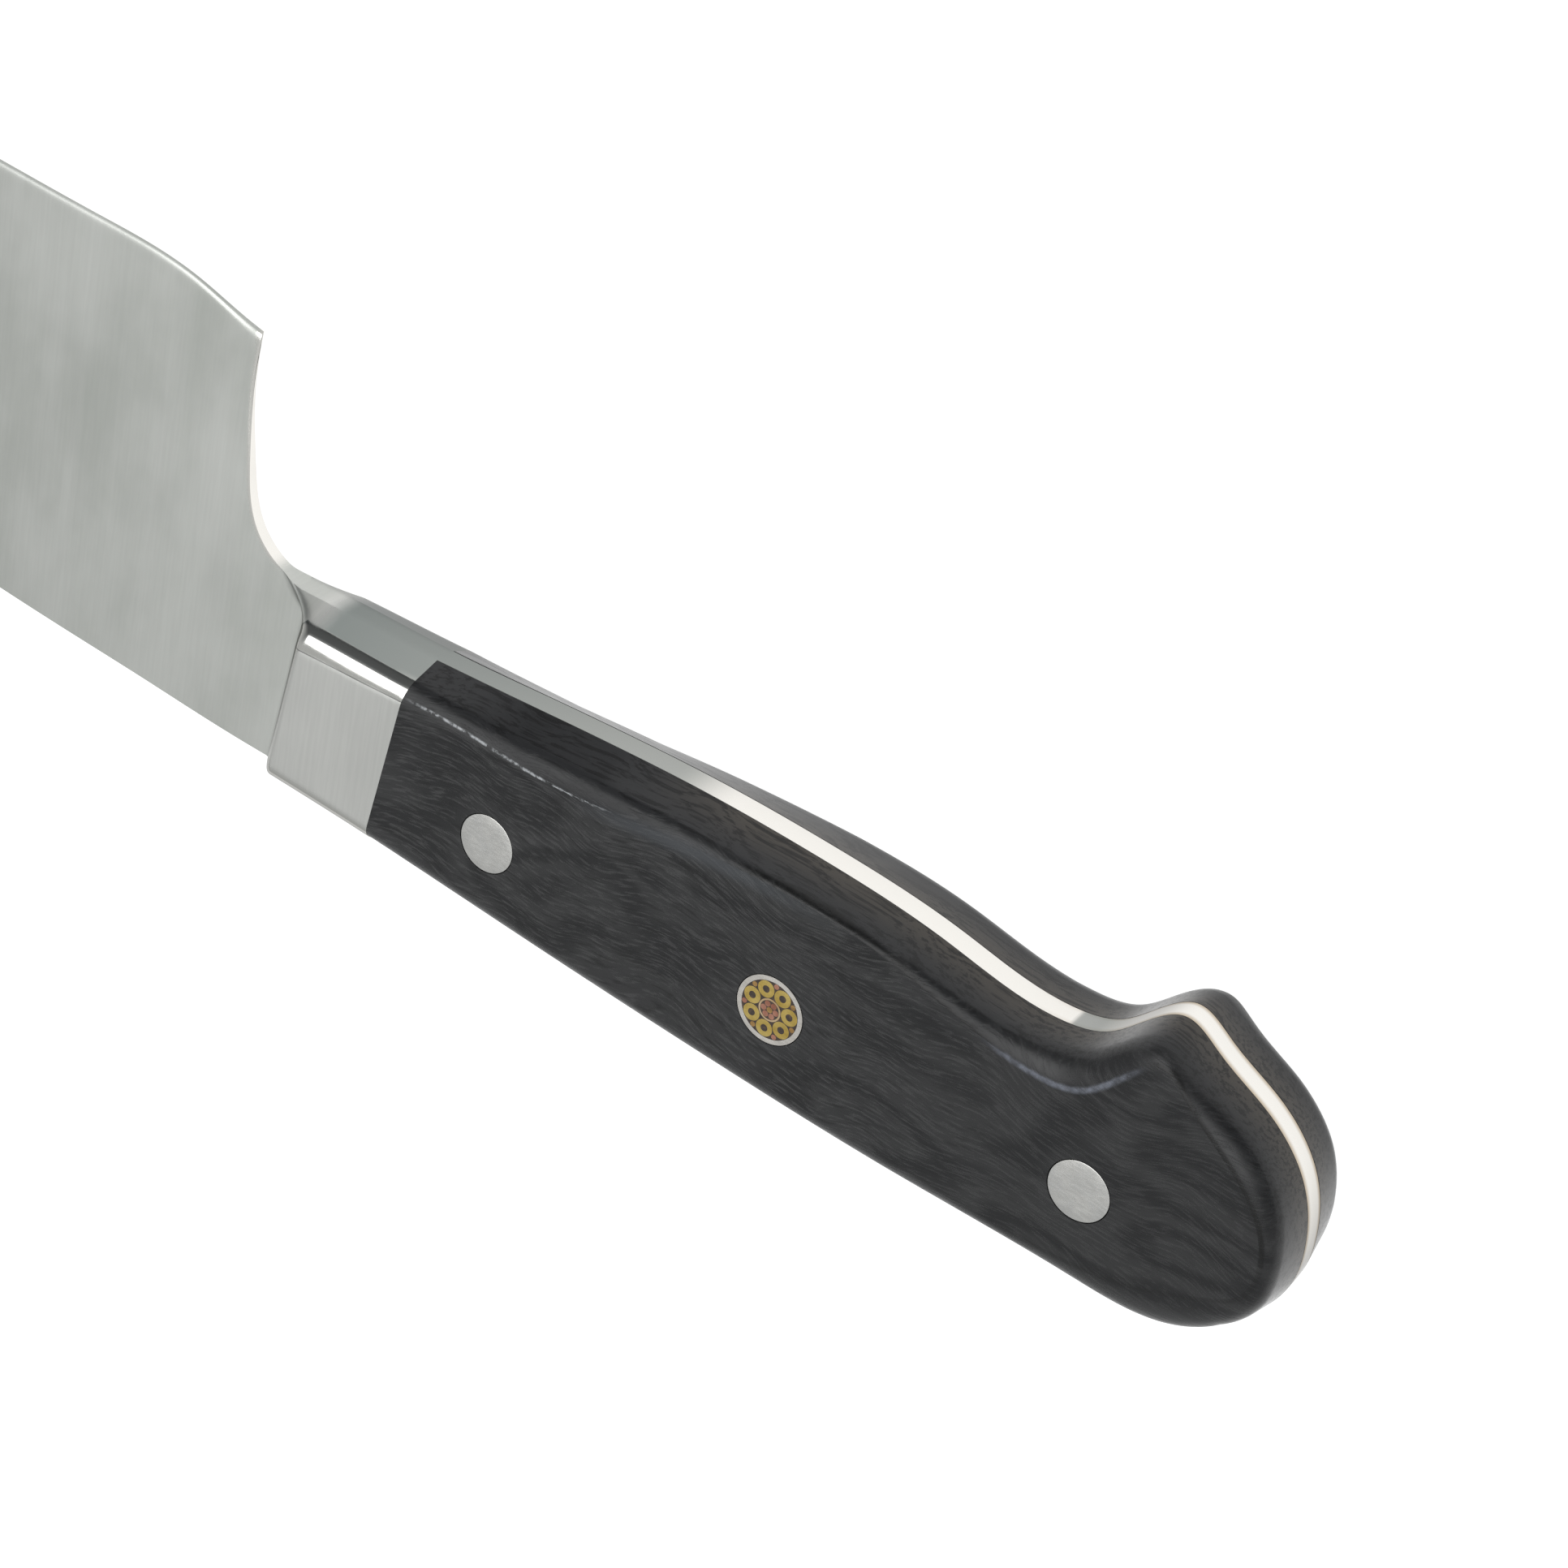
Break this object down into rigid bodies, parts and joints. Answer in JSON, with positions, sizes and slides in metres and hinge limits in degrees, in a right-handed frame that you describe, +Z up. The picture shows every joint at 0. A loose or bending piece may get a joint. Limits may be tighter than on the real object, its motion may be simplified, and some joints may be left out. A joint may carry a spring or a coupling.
{
  "type": "chef knife",
  "caption": "Forged chef knife with an integral bolster, a full tang, black wood scales, steel rivets, a mosaic pin and a hooked butt, lying on its side.",
  "frame": {"origin": "middle of the bounding box's bottom, in the plane of the side face that the knife lies on", "axes": "+X runs along the knife to the butt of the handle, +Y across the blade to its cutting edge, +Z up through the knife's thickness"},
  "size_m": [0.342, 0.0578, 0.0158],
  "materials": {
    "forging_steel": "satin blade, polished bolster and tang edge",
    "scale_wood": "black-dyed laminated wood, waxed semi-gloss",
    "bedding_epoxy": "black epoxy film",
    "rivet_steel": "fine satin",
    "pin_tube_steel": "fine satin",
    "pin_brass": "fine satin",
    "pin_copper": "copper, fine satin",
    "pin_resin": "dark brown casting resin"
  },
  "bodies": {
    "root": {"blade_forging": "forging_steel", "scale_upper": "scale_wood", "scale_lower": "scale_wood", "bedding_upper": "bedding_epoxy", "bedding_lower": "bedding_epoxy", "front_rivet": "rivet_steel", "rear_rivet": "rivet_steel", "mosaic_outer_tube": "pin_tube_steel", "mosaic_centre_tube": "pin_tube_steel", "mosaic_brass_tube_1": "pin_brass", "mosaic_brass_tube_2": "pin_brass", "mosaic_brass_tube_3": "pin_brass", "mosaic_brass_tube_4": "pin_brass", "mosaic_brass_tube_5": "pin_brass", "mosaic_brass_tube_6": "pin_brass", "mosaic_brass_tube_7": "pin_brass", "mosaic_gap_rod_1": "pin_copper", "mosaic_gap_rod_2": "pin_copper", "mosaic_gap_rod_3": "pin_copper", "mosaic_gap_rod_4": "pin_copper", "mosaic_gap_rod_5": "pin_copper", "mosaic_gap_rod_6": "pin_copper", "mosaic_gap_rod_7": "pin_copper", "mosaic_core_rod_1": "pin_copper", "mosaic_core_rod_2": "pin_copper", "mosaic_core_rod_3": "pin_copper", "mosaic_core_rod_4": "pin_copper", "mosaic_core_rod_5": "pin_copper", "mosaic_core_rod_6": "pin_copper", "mosaic_core_rod_7": "pin_copper", "mosaic_resin": "pin_resin"}
  },
  "joints": []
}
